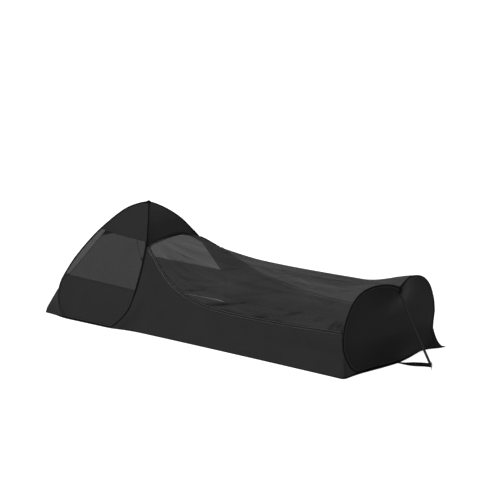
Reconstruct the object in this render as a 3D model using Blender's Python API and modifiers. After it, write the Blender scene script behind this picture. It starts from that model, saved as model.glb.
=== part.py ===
"""Pop-up mosquito net tent: the CAD of every sewn panel, hoop, zip and line.

The frame is metres with +X from the head dome to the foot end, -Y the near
side and +Z up. The origin is the centre of the floor on the ground.
"""

import math

import bpy

# Overall size of the tent, metres
LENGTH = 2.30
WIDTH = 0.90
APEX_HEIGHT = 0.678
APEX_X = -0.70
HALF_LENGTH = LENGTH / 2
HALF_WIDTH = WIDTH / 2
FLOOR_END = HALF_LENGTH - 0.010
END_HOLLOW = 0.026
TAB_PULL = 0.016

# Make of the parts, metres
CLOTH = 0.0016
SLEEVE_RADIUS = 0.0055
GAP = 0.0004
SLEEVE_CLEAR = SLEEVE_RADIUS + GAP + CLOTH / 2
PANEL_CLEAR = SLEEVE_CLEAR + 0.0012
SEAM_GAP = 0.0005
GROUND_CLEAR = 0.0026
FLOOR_THICK = 0.002
FOOT_BULGE = 0.028

# Heights of the seams on the head dome, metres
WINDOW_LOW = 0.235
WINDOW_HIGH = 0.490
HOOD_HEM = 0.465
CAP_TOP = 0.662
SEAM_FOOT = 0.0028
SEAM_HEAD = 0.588
HOOP_CLEAR = 0.0061

# How far a head hoop is from the middle: height and half width
DOME_HALF = (
    (0.000, 0.478),
    (0.030, 0.470),
    (0.080, 0.447),
    (0.135, 0.423),
    (0.200, 0.397),
    (0.235, 0.376),
    (0.290, 0.339),
    (0.350, 0.299),
    (0.410, 0.262),
    (0.460, 0.228),
    (0.500, 0.200),
    (0.560, 0.157),
    (0.600, 0.120),
    (0.640, 0.0735),
    (0.668, 0.0290),
    (0.678, 0.0065),
)
# The two arcs of a head hoop: height and x position
HEAD_ARC = (
    (0.008, -0.935),
    (0.030, -0.981),
    (0.080, -1.034),
    (0.135, -1.061),
    (0.200, -1.063),
    (0.280, -1.048),
    (0.330, -1.033),
    (0.380, -1.008),
    (0.430, -0.979),
    (0.480, -0.948),
    (0.520, -0.917),
    (0.560, -0.882),
    (0.600, -0.848),
    (0.634, -0.815),
    (0.655, -0.782),
    (0.668, -0.750),
    (0.675, -0.726),
    (0.678, -0.700),
)
FOOT_ARC = (
    (0.008, -0.590),
    (0.050, -0.511),
    (0.113, -0.459),
    (0.175, -0.442),
    (0.235, -0.441),
    (0.290, -0.453),
    (0.350, -0.467),
    (0.410, -0.483),
    (0.460, -0.501),
    (0.500, -0.520),
    (0.540, -0.543),
    (0.580, -0.568),
    (0.610, -0.595),
    (0.640, -0.628),
    (0.655, -0.649),
    (0.668, -0.669),
    (0.675, -0.682),
    (0.678, -0.700),
)

# The hip seam of the head end: height, x position and half width
HIP_SEAM = (
    (0.0028, -1.150, 0.450),
    (0.030, -1.149, 0.433),
    (0.060, -1.141, 0.416),
    (0.100, -1.129, 0.394),
    (0.135, -1.117, 0.374),
    (0.200, -1.089, 0.335),
    (0.235, -1.074, 0.309),
    (0.300, -1.047, 0.258),
    (0.360, -1.017, 0.215),
    (0.420, -0.982, 0.178),
    (0.480, -0.947, 0.141),
    (0.520, -0.920, 0.119),
    (0.560, -0.888, 0.109),
    (0.588, -0.858, 0.107),
)

# The top edge of a side wall: x position, half width and height
WALL_TOP = (
    (-0.494, 0.2265, 0.4625),
    (-0.468, 0.239, 0.443),
    (-0.440, 0.250, 0.424),
    (-0.400, 0.263, 0.400),
    (-0.368, 0.276, 0.379),
    (-0.321, 0.295, 0.349),
    (-0.220, 0.330, 0.298),
    (-0.110, 0.355, 0.257),
    (0.007, 0.372, 0.227),
    (0.128, 0.382, 0.209),
    (0.263, 0.388, 0.202),
    (0.475, 0.394, 0.202),
    (0.690, 0.402, 0.205),
    (0.910, 0.409, 0.211),
    (1.105, 0.419, 0.215),
)

# The upper half of the foot hoop: distance from the middle and height
FOOT_LOBE = (
    (0.000, 0.4115),
    (0.015, 0.4165),
    (0.030, 0.4235),
    (0.055, 0.4330),
    (0.080, 0.4390),
    (0.110, 0.4425),
    (0.150, 0.4435),
    (0.200, 0.4405),
    (0.230, 0.4360),
    (0.260, 0.4290),
    (0.280, 0.4220),
    (0.305, 0.4100),
    (0.330, 0.3930),
    (0.358, 0.3655),
    (0.375, 0.3420),
    (0.390, 0.3145),
    (0.402, 0.2860),
    (0.412, 0.2530),
    (0.419, 0.2150),
)
# Its lower half: height and distance from the middle
FOOT_LOWER = (
    (0.215, 0.419),
    (0.150, 0.410),
    (0.091, 0.390),
    (0.040, 0.358),
    (0.012, 0.305),
)
FOOT_HALF = 0.419
FOOT_WAIST = 0.215
GUSSET_TOP = 0.100
FOOT_X = 1.100
FOOT_LEAN = -0.034
NOTCH_PULL = 0.049
NOTCH_REACH = 0.130

# The ridge of the net roof: x position and height
RIDGE = (
    (-0.490, 0.509),
    (-0.190, 0.454),
    (0.060, 0.427),
    (0.300, 0.417),
    (0.600, 0.414),
    (0.850, 0.414),
    (1.163, 0.409),
)

# The guy line, ground strap and peg
PEG_X = 1.375
STRAP_WIDTH = 0.022
STRAP_THICK = 0.0018
GUY_RADIUS = 0.0018
PEG_RADIUS = 0.0022

BLACK = (0.020, 0.020, 0.022, 1.0)
NET = (0.055, 0.055, 0.058, 1.0)
GREY = (0.090, 0.090, 0.095, 1.0)
STEEL = (0.60, 0.60, 0.62, 1.0)


def clear_file():
    """Remove whatever the file starts with."""
    for item in list(bpy.data.objects):
        bpy.data.objects.remove(item, do_unlink=True)


def table_value(table, key, column=1):
    """Read a column of a table at a key, as a smooth line through its rows."""
    rows = table if table[0][0] < table[-1][0] else tuple(reversed(table))
    if key <= rows[0][0]:
        return rows[0][column]
    if key >= rows[-1][0]:
        return rows[-1][column]
    i = 0
    while rows[i + 1][0] < key:
        i += 1
    x0, x1 = rows[i][0], rows[i + 1][0]
    y0, y1 = rows[i][column], rows[i + 1][column]
    span = x1 - x0
    slope = (y1 - y0) / span
    before = slope
    after = slope
    if i > 0:
        before = (y1 - rows[i - 1][column]) / (x1 - rows[i - 1][0])
    if i + 2 < len(rows):
        after = (rows[i + 2][column] - y0) / (rows[i + 2][0] - x0)
    t = (key - x0) / span
    a = 2 * t**3 - 3 * t**2 + 1
    b = t**3 - 2 * t**2 + t
    c = -2 * t**3 + 3 * t**2
    d = t**3 - t**2
    return a * y0 + b * span * before + c * y1 + d * span * after


def mix(a, b, t):
    """Go from a to b."""
    return a + (b - a) * t


def mix3(p, q, t):
    """Go from point p to point q."""
    return tuple(mix(a, b, t) for a, b in zip(p, q))


def smooth(t):
    """Ease a value between 0 and 1."""
    t = min(max(t, 0.0), 1.0)
    return t * t * (3 - 2 * t)


def half_width_at(z):
    """Half width of the head dome at a height: the hoops lean together."""
    return table_value(DOME_HALF, z)


def off_hoop(arc, z):
    """How far in from a hoop's middle line a panel between the hoops ends."""
    step = 0.004
    dx = table_value(arc, z + step) - table_value(arc, z - step)
    dy = half_width_at(z + step) - half_width_at(z - step)
    level = math.hypot(dx, 2 * step)
    return HOOP_CLEAR * math.hypot(level, dy) / level


def head_arc_point(z):
    """A point on the near hoop's arc to the head."""
    return (table_value(HEAD_ARC, z), -half_width_at(z), z)


def foot_arc_point(z):
    """A point on the near hoop's arc to the foot."""
    return (table_value(FOOT_ARC, z), -half_width_at(z), z)


def foot_hoop_x(y, z):
    """The foot hoop's x position, pulled out by the guy line at its notch."""
    pull = math.exp(-((y / NOTCH_REACH) ** 2)) * smooth(z / 0.38)
    return FOOT_X - FOOT_LEAN * z + NOTCH_PULL * pull


def foot_hoop_point(y):
    """A point on the upper half of the foot hoop."""
    z = table_value(FOOT_LOBE, abs(y))
    return (foot_hoop_x(y, z), y, z)


def wall_top_point(x):
    """A point on the near wall's top edge."""
    return (x, -table_value(WALL_TOP, x, 1), table_value(WALL_TOP, x, 2))


def material(name, colour, roughness, metallic=0.0):
    """Make one material for one object."""
    made = bpy.data.materials.new(name)
    made.use_nodes = True
    shader = made.node_tree.nodes["Principled BSDF"]
    shader.inputs["Base Color"].default_value = colour
    shader.inputs["Roughness"].default_value = roughness
    shader.inputs["Metallic"].default_value = metallic
    made.diffuse_color = colour
    return made


def finish(item, name, colour, roughness=0.8, metallic=0.0):
    """Name an object, give it a material and put it in the collection."""
    item.name = name
    item.data.name = name
    item.data.materials.clear()
    item.data.materials.append(material(name, colour, roughness, metallic))
    for holder in list(item.users_collection):
        holder.objects.unlink(item)
    bpy.data.collections["mosquito_net_tent"].objects.link(item)
    return item


def panel(name, place, across, up, colour=BLACK, thick=CLOTH):
    """Make a cloth panel: a grid set on a surface, then given thickness."""
    bpy.ops.mesh.primitive_grid_add(
        x_subdivisions=across, y_subdivisions=up, size=1.0
    )
    item = bpy.context.object
    for vertex in item.data.vertices:
        u = vertex.co.x + 0.5
        v = vertex.co.y + 0.5
        vertex.co = place(u, v)
    solid = item.modifiers.new("thickness", "SOLIDIFY")
    solid.thickness = thick
    solid.offset = 0.0
    solid.use_even_offset = False
    return finish(item, name, colour)


def far(place):
    """The same surface on the far side."""

    def mirrored(u, v):
        x, y, z = place(u, v)
        return (x, -y, z)

    return mirrored


def rod(name, points, radius, colour, closed=False, sides=8, metallic=0.0):
    """Make a round rod or cord along points."""
    line = bpy.data.curves.new(name, "CURVE")
    line.dimensions = "3D"
    line.bevel_depth = radius
    line.bevel_resolution = max(0, sides // 2 - 2)
    line.use_fill_caps = not closed
    strand = line.splines.new("POLY")
    strand.points.add(len(points) - 1)
    for place, point in zip(strand.points, points):
        place.co = (point[0], point[1], point[2], 1.0)
    strand.use_cyclic_u = closed
    item = bpy.data.objects.new(name, line)
    bpy.context.scene.collection.objects.link(item)
    bpy.context.view_layer.objects.active = item
    for other in bpy.context.selected_objects:
        other.select_set(False)
    item.select_set(True)
    bpy.ops.object.convert(target="MESH")
    return finish(bpy.context.object, name, colour, 0.6, metallic)


def block(name, centre, size, colour, turn=0.0, metallic=0.0):
    """Make a small softened block, turned about Y."""
    bpy.ops.mesh.primitive_cube_add(size=1.0, location=centre)
    item = bpy.context.object
    item.scale = size
    item.rotation_euler = (0.0, turn, 0.0)
    bpy.ops.object.transform_apply(location=True, rotation=True, scale=True)
    edge = item.modifiers.new("edges", "BEVEL")
    edge.width = min(size) * 0.2
    edge.segments = 2
    return finish(item, name, colour, 0.5, metallic)


def spread(count):
    """Even steps from 0 to 1."""
    return [i / count for i in range(count + 1)]


def head_hoop_points(side):
    """The closed line of a head hoop, from the apex round the head side."""
    points = []
    for t in spread(30):
        z = APEX_HEIGHT * math.sin(math.pi / 2 * (1 - t)) ** 1.0
        z = max(z, 0.010)
        points.append(head_arc_point(z))
    start, end = points[-1], foot_arc_point(0.010)
    for t in spread(10)[1:-1]:
        points.append(mix3(start, end, t))
    for t in spread(30)[:-1]:
        z = APEX_HEIGHT * math.sin(math.pi / 2 * t)
        z = max(z, 0.010)
        points.append(foot_arc_point(z))
    kept = []
    for point in points:
        if not kept or math.dist(point, kept[-1]) > 0.006:
            kept.append(point)
    return [(x, y * side, z) for x, y, z in kept]


def foot_hoop_points():
    """The closed line of the foot hoop."""
    half = []
    for t in spread(24):
        y = FOOT_HALF * math.sin(math.pi / 2 * t)
        half.append(foot_hoop_point(y))
    for t in spread(10)[1:]:
        z = mix(FOOT_WAIST, 0.012, t)
        y = table_value(FOOT_LOWER, z)
        half.append((foot_hoop_x(y, z), y, z))
    bottom = half[-1]
    for t in spread(4)[1:]:
        half.append((bottom[0], bottom[1] * (1 - t), bottom[2]))
    other = [(x, -y, z) for x, y, z in reversed(half[1:-1])]
    return half + other


def leaf(low, high):
    """The near leaf panel between two heights, inside the hoop."""

    def place(u, v):
        z = mix(low, high, v)
        left = table_value(HEAD_ARC, z) + PANEL_CLEAR / head_slope(HEAD_ARC, z)
        right = table_value(FOOT_ARC, z) - PANEL_CLEAR / head_slope(FOOT_ARC, z)
        return (mix(left, right, u), -half_width_at(z), z)

    return place


def head_slope(arc, z):
    """How upright an arc is at a height: 1 upright, less when it leans."""
    step = 0.01
    dx = table_value(arc, z + step) - table_value(arc, z - step)
    dy = half_width_at(z + step) - half_width_at(z - step)
    rise = math.hypot(2 * step, dy)
    return max(rise / math.hypot(rise, dx), 0.3)


def seam_point(t):
    """The near hip seam, from the floor corner up to the hoop."""
    z = mix(SEAM_FOOT, SEAM_HEAD, t)
    return (table_value(HIP_SEAM, z, 1), -table_value(HIP_SEAM, z, 2), z)


def seam_clear(z):
    """Half the gap at the hip seam, wider where the panels meet at an angle."""
    return mix(0.0008, 0.0004, smooth((z - 0.20) / 0.10))


def head_end(low, high):
    """The middle head panel between two shares of the hip seam."""

    def place(u, v):
        x, y, z = seam_point(mix(low, high, v))
        half = -y - seam_clear(z)
        return (x, mix(-half, half, u), z)

    return place


def head_gusset(u, v):
    """The gusset between the near hip seam and the hoop's arc."""
    seam = seam_point(mix(0.01, 0.985, v))
    z = mix(0.012, 0.60, v)
    x, y, z = head_arc_point(z)
    hoop = (x - 0.003, y + 0.008, z)
    seam = (seam[0], seam[1] - seam_clear(seam[2]), seam[2])
    return mix3(seam, hoop, u)


def coons(u, v, low, high, start, end):
    """A surface between four edge lines: low and high run by u, the rest by v."""
    across = mix3(low(u), high(u), v)
    along = mix3(start(v), end(v), u)
    corners = mix3(mix3(low(0), low(1), u), mix3(high(0), high(1), u), v)
    return tuple(a + b - c for a, b, c in zip(across, along, corners))


def wall_start(v):
    """The side wall's edge beside the head hoop."""
    z = mix(GROUND_CLEAR, 0.462, v)
    x, y, z = foot_arc_point(z)
    clear = PANEL_CLEAR + 0.005 * (1 - smooth(z / 0.20))
    return (x + clear / head_slope(FOOT_ARC, z), y, z)


def wall_end(v):
    """The side wall's edge at the foot: beside the hoop, then to the corner."""
    z = mix(GROUND_CLEAR, FOOT_WAIST - 0.0006, v)
    if z > GUSSET_TOP:
        y = table_value(FOOT_LOWER, z)
        return (foot_hoop_x(y, z) - SLEEVE_CLEAR, -y, z)
    y = table_value(FOOT_LOWER, GUSSET_TOP)
    hoop = (foot_hoop_x(y, GUSSET_TOP) - SLEEVE_CLEAR, -y, GUSSET_TOP)
    corner = (HALF_LENGTH - 0.012, -HALF_WIDTH + 0.002, GROUND_CLEAR)
    return mix3(corner, hoop, (z - GROUND_CLEAR) / (GUSSET_TOP - GROUND_CLEAR))


def side_wall(u, v):
    """The near side wall from the floor to its curved top edge."""

    def low(t):
        x, y, z = mix3(wall_start(0), wall_end(0), t)
        return (x, mix(wall_start(0)[1], -HALF_WIDTH, smooth(t * 7)), z)

    def low_line(t):
        x, y, z = low(t)
        waist = 0.014 * math.sin(math.pi * t) ** 0.7
        return (x, y + waist + 0.002 * t, z)

    def high(t):
        x, y, z = wall_top_point(mix(wall_start(1)[0], wall_end(1)[0], t))
        return (x, y, z - 0.0006)

    start_gap = [a - b for a, b in zip(high(0), wall_start(1))]
    end_gap = [a - b for a, b in zip(high(1), wall_end(1))]

    def start(t):
        return tuple(p + g * t for p, g in zip(wall_start(t), start_gap))

    def end(t):
        return tuple(p + g * t for p, g in zip(wall_end(t), end_gap))

    return coons(u, v, low_line, high, start, end)


def roof_height(u, w, x):
    """The height of the net roof, w being -1 at one wall and 1 at the other."""
    wall = table_value(WALL_TOP, x, 2) + 0.0014
    ridge = table_value(RIDGE, x)
    arch = 1 - abs(w) ** 2.1
    middle = wall + (ridge - wall) * arch
    lobe = table_value(FOOT_LOBE, FOOT_HALF * abs(w)) + 0.0010
    share = smooth((u - 0.76) / 0.24)
    return mix(middle, lobe, share)


def net_roof(u, v):
    """The net roof from the hood's hem to the foot hoop."""
    w = 2 * v - 1
    hem_x = mix(-0.489, -0.479, abs(w))
    y_end = FOOT_HALF * w
    z_end = table_value(FOOT_LOBE, abs(y_end))
    end_x = foot_hoop_x(y_end, z_end) - SLEEVE_CLEAR - 0.001
    x = mix(hem_x, end_x, u)
    half = table_value(WALL_TOP, min(x, 1.105), 1)
    z = roof_height(u, w, min(x, 1.163))
    return (x, half * w, z)


def hood(u, v):
    """The hood between the hoops' arcs to the foot, down to its hem."""
    z = mix(HOOD_HEM, CAP_TOP, v)
    x, y, z = foot_arc_point(z)
    half = -y - off_hoop(FOOT_ARC, z)
    w = 2 * u - 1
    rise = 0.045 * (1 - w * w) * (1 - v)
    return (x - 0.001, half * w, z + rise)


def head_cap(u, v):
    """The cap over the head side, from the hip seams to the apex."""
    z = mix(0.606, CAP_TOP, v)
    x, y, z = head_arc_point(z)
    half = -y - off_hoop(HEAD_ARC, z)
    w = 2 * u - 1
    return (x + 0.001, half * w, z)


def foot_panel(u, v):
    """The panel that fills the foot hoop."""
    w = 2 * u - 1
    z = mix(0.022, 0.385, v)
    y_end = lobe_y(z)
    if z < FOOT_WAIST:
        y_end = -beside_foot_hoop(z, -SLEEVE_CLEAR - 0.0005)[1] - 0.022 * (1 - smooth(z / 0.09))
    y = y_end * w
    if z > 0.30:
        top = table_value(FOOT_LOBE, abs(y)) - SLEEVE_CLEAR - 0.003
        low = 0.30
        z = mix(low, min(top, 0.43), (z - 0.30) / 0.085)
    return (foot_hoop_x(y, z), y, z)


def lobe_y(z):
    """How far out the foot hoop's upper half is at a height."""
    rows = tuple((row[1], row[0]) for row in FOOT_LOBE if row[0] >= 0.200)
    return table_value(rows, min(z, 0.432)) - PANEL_CLEAR


def beside_foot_hoop(z, clear):
    """A point beside the foot hoop's lower half, clear of its sleeve."""
    step = 0.004
    dy = table_value(FOOT_LOWER, z + step) - table_value(FOOT_LOWER, z - step)
    length = math.hypot(dy, 2 * step)
    y = table_value(FOOT_LOWER, z)
    out_y = 2 * step / length * clear
    out_z = -dy / length * clear
    return (foot_hoop_x(y, z), -(y + out_y), z + out_z)


def foot_gusset(u, v):
    """The small gusset between the foot hoop and the near floor corner."""
    z = mix(0.026, GUSSET_TOP - 0.006, v)
    hoop = beside_foot_hoop(z, SLEEVE_CLEAR - 0.0006)
    corner = (HALF_LENGTH - 0.006, -HALF_WIDTH + 0.002, 0.006)
    top = beside_foot_hoop(GUSSET_TOP - 0.004, SLEEVE_CLEAR + 0.002)
    return mix3(hoop, mix3(corner, top, v), u)


def floor_place(u, v):
    """The groundsheet, its corners pulled to points."""
    w = 2 * v - 1
    t = 2 * u - 1
    waist = 0.012 * (1 - t * t)
    bulge = (FOOT_BULGE + 0.006) * math.exp(-(((t + 0.68) / 0.16) ** 2))
    hollow = END_HOLLOW * (1 - w**4) - TAB_PULL * math.exp(-((w / 0.27) ** 2))
    x = (HALF_LENGTH - hollow) * t
    y = (HALF_WIDTH - waist + bulge) * w
    return (x, y, FLOOR_THICK / 2)


def zip_points(side):
    """The zip along a side wall's top edge."""
    points = []
    for t in spread(40):
        x, y, z = wall_top_point(mix(-0.460, 1.07, t))
        points.append((x, (y - 0.0052) * side, z - 0.0005))
    return points


def build():
    """Make every part."""
    clear_file()
    holder = bpy.data.collections.new("mosquito_net_tent")
    bpy.context.scene.collection.children.link(holder)

    panel("groundsheet", floor_place, 48, 12, GREY, FLOOR_THICK)
    for side, word, turn in ((1, "near", lambda f: f), (-1, "far", far)):
        rod(word + "_head_hoop", head_hoop_points(side), SLEEVE_RADIUS, BLACK, True)
        panel(word + "_leaf_lower", turn(leaf(0.018, WINDOW_LOW - SEAM_GAP)), 10, 8)
        panel(word + "_leaf_window", turn(leaf(WINDOW_LOW, WINDOW_HIGH - SEAM_GAP)), 10, 8, NET)
        panel(word + "_leaf_cap", turn(leaf(WINDOW_HIGH, 0.664)), 10, 10)
        panel(word + "_head_gusset", turn(head_gusset), 4, 20, NET)
        panel(word + "_side_wall", turn(side_wall), 40, 14)
        panel(word + "_foot_gusset", turn(foot_gusset), 3, 8)
        rod(word + "_zip", zip_points(side), 0.003, GREY)
        x, y, z = wall_top_point(-0.30)
        block(
            word + "_zip_slider",
            (x, (y - 0.0138) * side, z),
            (0.012, 0.008, 0.010),
            STEEL,
            0.6,
            0.9,
        )
    panel("head_lower", head_end(0.0, 0.40), 10, 6, NET)
    panel("head_window", head_end(0.402, 0.78), 10, 6, NET)
    panel("head_upper", head_end(0.782, 0.985), 6, 4)
    panel("head_cap", head_cap, 6, 8)
    panel("hood", hood, 10, 10)
    panel("net_roof", net_roof, 48, 24, NET)
    panel("foot_panel", foot_panel, 16, 14)
    rod("foot_hoop", foot_hoop_points(), SLEEVE_RADIUS, BLACK, True)

    notch = foot_hoop_point(0.0)
    tab = (notch[0] + 0.0084, 0.0, notch[2] - 0.004)
    block("foot_tab", tab, (0.005, 0.016, 0.022), BLACK)
    guy = (tab[0] + 0.0044, 0.0, tab[2])
    rod("guy_line", [guy, (PEG_X, 0.0, 0.052)], GUY_RADIUS, BLACK)
    start = (FLOOR_END + 0.0005, 0.0, 0.0012)
    end = (PEG_X - 0.0027, 0.0, 0.018)
    reach = math.hypot(end[0] - start[0], end[2] - start[2])
    tilt = -math.atan2(end[2] - start[2], end[0] - start[0])
    block(
        "ground_strap",
        mix3(start, end, 0.5),
        (reach, STRAP_WIDTH, STRAP_THICK),
        BLACK,
        tilt,
    )
    peg = [(PEG_X, 0.0, 0.0), (PEG_X, 0.0, 0.045)]
    rod("ground_peg", peg, PEG_RADIUS, STEEL, metallic=0.9)
    block("apex_tie", (APEX_X, 0.0, APEX_HEIGHT + 0.0083), (0.016, 0.012, 0.006), BLACK)


build()
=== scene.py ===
"""Looks of the pop-up mosquito net tent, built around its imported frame.

The frame is metres with +X from the head dome to the foot end, -Y the near
side and +Z up. The origin is the centre of the floor on the ground.
"""

import bisect
import math

import bmesh
import bpy
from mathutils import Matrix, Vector, noise


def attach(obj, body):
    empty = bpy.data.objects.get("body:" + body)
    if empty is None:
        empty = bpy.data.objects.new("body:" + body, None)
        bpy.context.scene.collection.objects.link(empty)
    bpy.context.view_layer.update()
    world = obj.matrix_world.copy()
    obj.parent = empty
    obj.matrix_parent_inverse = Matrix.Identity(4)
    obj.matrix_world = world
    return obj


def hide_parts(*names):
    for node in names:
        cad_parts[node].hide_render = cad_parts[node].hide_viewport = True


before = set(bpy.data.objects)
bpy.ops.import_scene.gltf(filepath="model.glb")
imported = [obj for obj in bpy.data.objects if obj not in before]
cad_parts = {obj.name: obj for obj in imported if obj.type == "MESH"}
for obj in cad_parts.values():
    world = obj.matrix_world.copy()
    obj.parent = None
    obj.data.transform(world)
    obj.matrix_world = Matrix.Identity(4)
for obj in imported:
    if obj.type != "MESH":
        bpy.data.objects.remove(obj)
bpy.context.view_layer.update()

bl_info = {
    "name": "Mosquito net tent",
    "version": (1, 0, 0),
    "blender": (4, 5, 0),
    "location": "3D View > Sidebar > Net tent",
    "description": "Sewn cloth, nets, hoops, zips and lines of a pop-up net tent",
    "category": "Add Mesh",
}

# Overall size of the tent, metres
HALF_LENGTH = 1.15
HALF_WIDTH = 0.45
APEX_HEIGHT = 0.678
APEX_X = -0.70
END_HOLLOW = 0.026
FOOT_BULGE = 0.028
FLOOR_TOP = 0.0022

# Heights of the seams on the head dome, metres
WINDOW_LOW = (0.241, 0.228)
WINDOW_HIGH = (0.518, 0.488)
CAP_TOP = 0.674
SEAM_FOOT = 0.0028
SEAM_HEAD = 0.600
GUSSET_SHARE = 0.389
HEAD_NET_SHARE = 0.78

# The hood's hem: share across the opening, from the near hoop, and height
HOOD_HEM = (
    (-1.00, 0.420),
    (-0.88, 0.437),
    (-0.80, 0.459),
    (-0.60, 0.468),
    (-0.28, 0.477),
    (0.14, 0.486),
    (0.60, 0.480),
    (0.82, 0.455),
    (0.94, 0.425),
    (1.00, 0.412),
)

# How far a head hoop is from the middle: height and half width
DOME_HALF = (
    (0.000, 0.478),
    (0.030, 0.470),
    (0.080, 0.447),
    (0.135, 0.423),
    (0.200, 0.397),
    (0.235, 0.376),
    (0.290, 0.339),
    (0.350, 0.299),
    (0.410, 0.262),
    (0.460, 0.228),
    (0.500, 0.200),
    (0.560, 0.157),
    (0.600, 0.120),
    (0.640, 0.0735),
    (0.668, 0.0290),
    (0.678, 0.0065),
)
# The two arcs of a head hoop: height and x position
HEAD_ARC = (
    (0.008, -0.935),
    (0.030, -0.981),
    (0.080, -1.034),
    (0.135, -1.061),
    (0.200, -1.063),
    (0.280, -1.048),
    (0.330, -1.033),
    (0.380, -1.008),
    (0.430, -0.979),
    (0.480, -0.948),
    (0.520, -0.917),
    (0.560, -0.882),
    (0.600, -0.848),
    (0.634, -0.815),
    (0.655, -0.782),
    (0.668, -0.750),
    (0.675, -0.726),
    (0.678, -0.700),
)
FOOT_ARC = (
    (0.008, -0.560),
    (0.030, -0.528),
    (0.060, -0.497),
    (0.113, -0.459),
    (0.175, -0.442),
    (0.235, -0.441),
    (0.290, -0.453),
    (0.350, -0.467),
    (0.410, -0.483),
    (0.460, -0.501),
    (0.500, -0.520),
    (0.540, -0.543),
    (0.580, -0.568),
    (0.610, -0.595),
    (0.640, -0.628),
    (0.655, -0.649),
    (0.668, -0.669),
    (0.675, -0.682),
    (0.678, -0.700),
)

# The hip seam of the head end: height, x position and half width
HIP_SEAM = (
    (0.0028, -1.151, 0.450),
    (0.030, -1.154, 0.434),
    (0.060, -1.147, 0.416),
    (0.100, -1.135, 0.394),
    (0.135, -1.124, 0.374),
    (0.200, -1.095, 0.335),
    (0.235, -1.079, 0.309),
    (0.300, -1.047, 0.258),
    (0.360, -1.017, 0.215),
    (0.420, -0.982, 0.178),
    (0.480, -0.947, 0.141),
    (0.520, -0.920, 0.119),
    (0.560, -0.888, 0.110),
    (0.600, -0.850, 0.116),
)

# The top edge of a side wall: x position, half width, height near and far
WALL_TOP = (
    (-0.494, 0.2265, 0.4625, 0.4625),
    (-0.468, 0.239, 0.443, 0.451),
    (-0.440, 0.250, 0.424, 0.438),
    (-0.400, 0.263, 0.400, 0.417),
    (-0.368, 0.276, 0.379, 0.399),
    (-0.321, 0.295, 0.349, 0.372),
    (-0.220, 0.330, 0.298, 0.310),
    (-0.110, 0.355, 0.257, 0.258),
    (0.007, 0.372, 0.227, 0.226),
    (0.128, 0.382, 0.209, 0.200),
    (0.263, 0.388, 0.202, 0.179),
    (0.475, 0.394, 0.202, 0.162),
    (0.690, 0.402, 0.207, 0.163),
    (0.910, 0.411, 0.217, 0.172),
    (1.105, 0.422, 0.228, 0.184),
)

# The foot hoop: distance from the middle and height, above and below
FOOT_LOBE = (
    (0.000, 0.4115),
    (0.015, 0.4165),
    (0.030, 0.4235),
    (0.055, 0.4330),
    (0.080, 0.4390),
    (0.110, 0.4425),
    (0.150, 0.4435),
    (0.200, 0.4405),
    (0.230, 0.4360),
    (0.260, 0.4290),
    (0.280, 0.4220),
    (0.305, 0.4100),
    (0.330, 0.3930),
    (0.358, 0.3655),
    (0.375, 0.3420),
    (0.390, 0.3145),
    (0.403, 0.2860),
    (0.414, 0.2530),
    (0.423, 0.2050),
)
FOOT_UNDER = (
    (0.310, 0.010),
    (0.360, 0.033),
    (0.395, 0.083),
    (0.415, 0.145),
    (0.423, 0.205),
)
FOOT_HALF = 0.423
FOOT_WAIST = 0.205
FOOT_X = 1.097
FOOT_LEAN = -0.038
FOOT_SPREAD = 0.026
FOOT_BOW = 0.032
NOTCH_PULL = 0.049
NOTCH_REACH = 0.130
GUSSET_TOP = 0.120

# The floor's edge at the foot: share across from the near side and x position
FLOOR_END = (
    (-1.00, 1.127),
    (-0.96, 1.134),
    (-0.88, 1.133),
    (-0.71, 1.133),
    (-0.51, 1.142),
    (-0.34, 1.152),
    (-0.16, 1.159),
    (-0.05, 1.162),
    (0.09, 1.158),
    (0.30, 1.144),
    (0.61, 1.115),
    (0.68, 1.113),
    (0.78, 1.129),
    (0.90, 1.158),
    (1.00, 1.170),
)

# The ridge of the net roof: x position and height
RIDGE = (
    (-0.510, 0.486),
    (-0.190, 0.454),
    (0.060, 0.427),
    (0.300, 0.417),
    (0.600, 0.414),
    (0.850, 0.414),
    (1.163, 0.410),
)

PEG_X = 1.375

class TentSizes(bpy.types.PropertyGroup):
    """Sizes that a maker would change without a new pattern."""

    cloth: bpy.props.FloatProperty(
        name="Cloth", description="Thickness of the cloth", default=0.0009, unit="LENGTH"
    )
    sleeve: bpy.props.FloatProperty(
        name="Sleeve", description="Radius of a hoop in its sleeve", default=0.0055, unit="LENGTH"
    )
    piping: bpy.props.FloatProperty(
        name="Piping", description="Radius of the piping", default=0.0015, unit="LENGTH"
    )
    zip_tape: bpy.props.FloatProperty(
        name="Zip tape", description="Width of one zip tape", default=0.014, unit="LENGTH"
    )
    hem: bpy.props.FloatProperty(
        name="Hem", description="Width of a hem tape", default=0.006, unit="LENGTH"
    )
    guy: bpy.props.FloatProperty(
        name="Guy line", description="Width of the flat guy line", default=0.0210, unit="LENGTH"
    )
    strap: bpy.props.FloatProperty(
        name="Strap", description="Width of the ground strap", default=0.022, unit="LENGTH"
    )
    peg: bpy.props.FloatProperty(
        name="Peg", description="Radius of the peg's wire", default=0.0021, unit="LENGTH"
    )
    mesh_pitch: bpy.props.FloatProperty(
        name="Net pitch", description="Distance between the net's holes", default=0.0030, unit="LENGTH"
    )
    folds: bpy.props.FloatProperty(
        name="Folds", description="Height of the net roof's folds", default=0.0035, unit="LENGTH"
    )


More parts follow.
